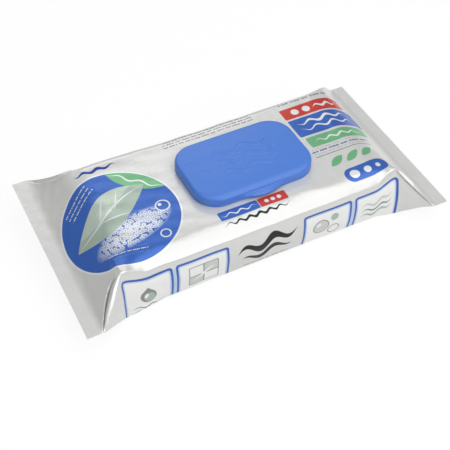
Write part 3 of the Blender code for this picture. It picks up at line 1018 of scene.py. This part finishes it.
def cover_rows():
    """The cover's closed loops from the middle of the top to the middle of the ceiling.

    The rolled edge is a quarter turn, with the front's and the ends' extra width times the
    square of how squarely the outline faces that way.
    """
    facing = (lid_outline(0.0, 0.0) - lid_outline(MM, 0.0))[:, :2] / MM
    extra = FRONT_ROLL * np.clip(-facing[:, 1], 0, 1) ** 2 + END_ROLL * facing[:, 0] ** 2
    extra = facing * extra[:, None]
    edge = lid_outline(COVER_EDGE, COVER_TOP)
    edge[:, :2] -= extra
    centre = np.append(LID_CENTRE, COVER_TOP)
    loops = []
    for share in np.linspace(0.012, 1, 60):
        row = centre + (edge - centre) * share
        local = row[:, :2] - LID_CENTRE
        row[:, 2] += COVER_CROWN * (1 - share**2)
        row[:, 2] += RAISED_HEIGHT * raised_waves(local[:, 0], local[:, 1])
        loops.append(row)
    for turn in np.radians(np.linspace(9, 90, 10)):
        level = COVER_TOP - COVER_EDGE * (1 - math.cos(turn))
        row = lid_outline(COVER_EDGE * (1 - math.sin(turn)), level)
        row[:, :2] -= extra * (1 - math.sin(turn))
        loops.append(row)
    loops.append(lid_outline(0.0, LIP_ROOT))
    on_lip = lip_share(edge[:, 0] - LID_CENTRE[0]) * (edge[:, 1] < 0)
    for share in np.linspace(0.06, 0.94, 20):
        row = lid_outline(0.0, mix(LIP_ROOT, LIP_TIP, share), LIP_REACH * share)
        row[:, 2] += RIDGE_HEIGHT * lip_ridges(share) * ease(0.15, 0.5, on_lip)
        loops.append(row)
    for turn in np.radians(np.linspace(20, 90, 4)):
        level = LIP_TIP - LIP_EDGE * (1 - math.cos(turn))
        loops.append(lid_outline(0.0, level, LIP_REACH - LIP_EDGE * (1 - math.sin(turn))))
    loops.append(lid_outline(0.0, COVER_BASE + 0.3 * MM, LIP_REACH))
    loops.append(lid_outline(0.15 * MM, COVER_BASE, LIP_REACH))
    inside = (
        (COVER_WALL, COVER_BASE), (COVER_WALL, CEILING - COVER_EDGE / 2),
        (COVER_WALL + 0.5 * MM, CEILING - COVER_EDGE / 5), (COVER_EDGE, CEILING),
        (RIM_OUTSIDE, CEILING), (RIM_OUTSIDE, RIM_BASE + SOFT), (RIM_OUTSIDE + SOFT, RIM_BASE),
        (RIM_INSIDE - SOFT, RIM_BASE), (RIM_INSIDE, RIM_BASE + SOFT), (RIM_INSIDE, CEILING),
        (RIM_INSIDE + 8 * MM, CEILING),
    )
    loops += [lid_outline(inset, z) for inset, z in inside]
    return np.array(loops)[::-1]


cover_mesh = mesh_of_rows("lid_cover_shell", cover_rows())
print("cover points", len(cover_mesh.vertices))

# %% Flange, collar and catch
CATCH_HALF = (7 * MM, 0.5 * MM, 1.4 * MM)
CATCH_CENTRE = (LID_CENTRE[0], LID_CENTRE[1] - LID_HALF[1] + 2.05 * MM, 40.8 * MM)


def frame_rows():
    """A ring: flange outside, collar inside, with the moulded edges broken."""
    profile = (
        (0.0, FLANGE_BASE), (0.0, FLANGE_TOP - SOFT), (SOFT, FLANGE_TOP),
        (COLLAR_OUTSIDE - 2 * SOFT, FLANGE_TOP), (COLLAR_OUTSIDE, FLANGE_TOP + 2 * SOFT),
        (COLLAR_OUTSIDE, COLLAR_TOP - SOFT), (COLLAR_OUTSIDE + SOFT, COLLAR_TOP),
        (FLANGE_INSIDE - SOFT, COLLAR_TOP), (FLANGE_INSIDE, COLLAR_TOP - SOFT),
        (FLANGE_INSIDE, FLANGE_BASE),
    )
    return np.array([lid_outline(inset, z) for inset, z in profile])[::-1]


def rounded_block(centre, half, soft):
    """Rows of a small block: stacked rounded rectangles that pull in at the top by soft."""
    turn = np.linspace(0, 2 * math.pi, 40, endpoint=False) + math.pi / 40
    corner = pair(np.cos(turn), np.sin(turn))
    top = half[2]
    loops = []
    for z, inset in ((-top, 0), (top - soft, 0), (top - soft * 0.3, soft * 0.3), (top, soft)):
        core = np.array(half[:2]) - soft
        xy = np.sign(corner) * core + corner * (soft - inset)
        loops.append(at_level(xy + np.array(centre[:2]), centre[2] + z))
    return np.array(loops)[::-1]


frame_mesh = mesh_of_rows("lid_frame_ring", frame_rows(), close_rows=True)
catch_mesh = mesh_of_rows("lid_catch", rounded_block(CATCH_CENTRE, CATCH_HALF, 0.3 * MM))
print("frame points", len(frame_mesh.vertices), "catch points", len(catch_mesh.vertices))

# %% [markdown]
# The living hinge is a thin web of the same plastic that bends thousands of times. Its
# middle is thinnest, so it folds along one line. Here the web is built straight and upright.

# %% Hinge web
HINGE_Y = LID_CENTRE[1] + LID_HALF[1] + 0.475 * MM
HINGE_HALF = 20 * MM
HINGE_LOW, HINGE_HIGH = 38.95 * MM, 41.35 * MM
WEB_THIN, WEB_THICK = 0.09 * MM, 0.19 * MM


def web_rows():
    """Loops round the web's thickness, stacked in z; the web is thinnest at half height."""
    share = np.linspace(0, 1, 17)
    half = mix(WEB_THIN, WEB_THICK, np.abs(2 * share - 1) ** 1.5)
    across = np.linspace(-HINGE_HALF, HINGE_HALF, 60)
    loops = []
    for s, h in zip(share, half):
        front = pair(across, -h)
        loop = np.concatenate([front, -front]) + (LID_CENTRE[0], HINGE_Y)
        loops.append(at_level(loop, mix(HINGE_LOW, HINGE_HIGH, s)))
    return np.array(loops)[::-1]


web_mesh = mesh_of_rows("hinge_strip", web_rows())
print("web points", len(web_mesh.vertices))

# %% [markdown]
# Moulded polypropylene is slightly waxy, with a satin skin from the spark-eroded mould. The
# hinge is polished smoother by bending. The colour has a faint cloud from the pigment.

# %% Lid material
GRAIN_DEPTH = 0.03 * MM


def moulded_plastic(name, colour, cloud_colour, low_gloss, high_gloss):
    """Satin moulded plastic on Object coordinates: pigment cloud, eroded grain, varied gloss."""
    material, tree, shader = new_material(name, 0.4, IOR=POLYPROPYLENE_IOR)
    where = add(tree, "ShaderNodeTexCoord").outputs["Object"]
    cloud = noise(tree, where, 45.0)
    grain = noise(tree, where, 2200.0)
    tint = mixed(tree, cloud, linear(colour), linear(cloud_colour))
    tree.links.new(tint, shader.inputs["Base Color"])
    tree.links.new(ranged(tree, grain, low_gloss, high_gloss), shader.inputs["Roughness"])
    tree.links.new(bump(tree, grain, GRAIN_DEPTH, 0.35), shader.inputs["Normal"])
    return material


lid_material = moulded_plastic("moulded_blue_polypropylene", "#4B7DD5", "#4F81D9", 0.30, 0.40)
hinge_material = moulded_plastic("flexed_blue_polypropylene", "#4878D2", "#4C7CD6", 0.28, 0.38)

cover_piece = place("lid_cover_shell", cover_mesh, lid_material, "cover")
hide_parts("lid_cover")
frame_piece = place("lid_frame_ring", frame_mesh, lid_material, "pack")
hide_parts("lid_frame")
catch_piece = place("lid_catch", catch_mesh, lid_material, "pack")
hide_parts("lid_frame")
web_piece = place("hinge_strip", web_mesh, hinge_material, None)
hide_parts("hinge_web")
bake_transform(web_piece)

# %% [markdown]
# Under the cover a peel label closes the film until the first wipe is pulled. It is white
# glossy film, printed with a rim, two waves and a blue pull tab at its front.

# %% Label material
label_material, tree, shader = new_material("coated_label_film", 0.25, IOR=1.5)
where = add(tree, "ShaderNodeTexCoord").outputs["Object"]
label_mm = vector_maths(tree, "MULTIPLY", where, (1 / MM, 1 / MM, 0))
label_fields = [
    box(9.7, 2.4, SKY, 28.3, 12.9, 4.5),
    box(9.7, 2.4, WHITE, 27.1, 11.7, 3.6),
    wave(9.7, 6.5, SKY, 22, 1.6, 14, 1.8),
    wave(9.7, 1.5, SKY, 22, 1.6, 14, 1.8),
    box(9.7, -13.1, BLUE, 7.2, 2.6, 1),
]
label_print = print_fields(tree, linear("#EEF1F2"), label_mm, label_fields)
tree.links.new(label_print, shader.inputs["Base Color"])
label = nodes["seal_label"]
label.data.materials.clear()
label.data.materials.append(label_material)
print("label fields", len(label_fields))

# %% [markdown]
# The pack was photographed on white. The floor takes the pack's shadow, and the camera and
# reflections also see it lit up to white. The lamps stay at a plain level, so a colour
# renders about as it is written. One large softbox is mirrored as the bright band on the
# front shoulder, two more lift the left end and the back, and two small ones low in front
# are mirrored as the white lines along the folds at the ears.

# %% Floor
FLOOR_GLOW = 0.90
floor_mesh = bpy.data.meshes.new("floor")
floor_mesh.from_pydata([(-4, -4, 0), (4, -4, 0), (4, 4, 0), (-4, 4, 0)], [], [(0, 1, 2, 3)])
floor = bpy.data.objects.new("floor", floor_mesh)
bpy.context.scene.collection.objects.link(floor)
floor_material = bpy.data.materials.new("white_paper_sweep")
floor_material.use_nodes = True
tree = floor_material.node_tree
tree.nodes.clear()
rays = add(tree, "ShaderNodeLightPath").outputs
seen = maths(tree, "ADD", rays["Is Camera Ray"], rays["Is Glossy Ray"])
seen = maths(tree, "ADD", seen, rays["Is Transmission Ray"], clamp=True)
paper = add(tree, "ShaderNodeBsdfDiffuse", {"Color": linear("#CBCBCA")})
faint = add(tree, "ShaderNodeBsdfDiffuse", {"Color": linear("#5C5C5C")})
glow = add(tree, "ShaderNodeEmission", {"Color": (1, 1, 1, 1), "Strength": FLOOR_GLOW})
lit = add(tree, "ShaderNodeAddShader", {0: faint.outputs[0], 1: glow.outputs[0]})
either = add(tree, "ShaderNodeMixShader", {0: seen, 1: paper.outputs[0], 2: lit.outputs[0]})
add(tree, "ShaderNodeOutputMaterial", {"Surface": either.outputs[0]})
floor_mesh.materials.append(floor_material)
print("floor nodes", len(tree.nodes))

# %% Sky and softboxes
SKY_LEVEL = 0.22
LAMP_DISTANCE = 1.1
# Each softbox: its name, the direction it stands in, its width and height, and its level
SOFTBOXES = (
    ("key_softbox", (0.3, -0.27, 0.9), (1.2, 1.1), 0.595),
    ("left_softbox", (-0.56, -0.3, 0.77), (0.7, 0.6), 0.19),
    ("back_softbox", (0.1, 0.8, 0.6), (0.8, 0.5), 0.15),
    ("front_small_softbox", (0.06, -0.80, 0.60), (0.40, 0.40), 0.16),
    ("right_small_softbox", (0.42, -0.77, 0.50), (0.45, 0.26), 0.07),
)
world = bpy.data.worlds.new("studio")
bpy.context.scene.world = world
world.use_nodes = True
tree = world.node_tree
tree.nodes.clear()
rays = add(tree, "ShaderNodeLightPath").outputs
seen = maths(tree, "ADD", rays["Is Camera Ray"], rays["Is Transmission Ray"], clamp=True)
strength = ranged(tree, seen, SKY_LEVEL, 1.0)
sky = add(tree, "ShaderNodeBackground", {"Color": (1, 1, 1, 1), "Strength": strength})
add(tree, "ShaderNodeOutputWorld", {"Surface": sky.outputs[0]})


def softbox(name, direction, size, level):
    """A lamp that gives a surface facing it that share of a white diffuser's brightness.

    Power = level * pi^2 * distance^2.
    """
    lamp = bpy.data.lights.new(name, "AREA")
    lamp.shape = "RECTANGLE"
    lamp.size, lamp.size_y = size
    lamp.energy = level * math.pi**2 * LAMP_DISTANCE**2
    stand = bpy.data.objects.new(name, lamp)
    stand_at(stand, (0, 0, 0), Vector(direction).normalized(), LAMP_DISTANCE)
    print(name, round(lamp.energy, 2), "W")


for settings in SOFTBOXES:
    softbox(*settings)
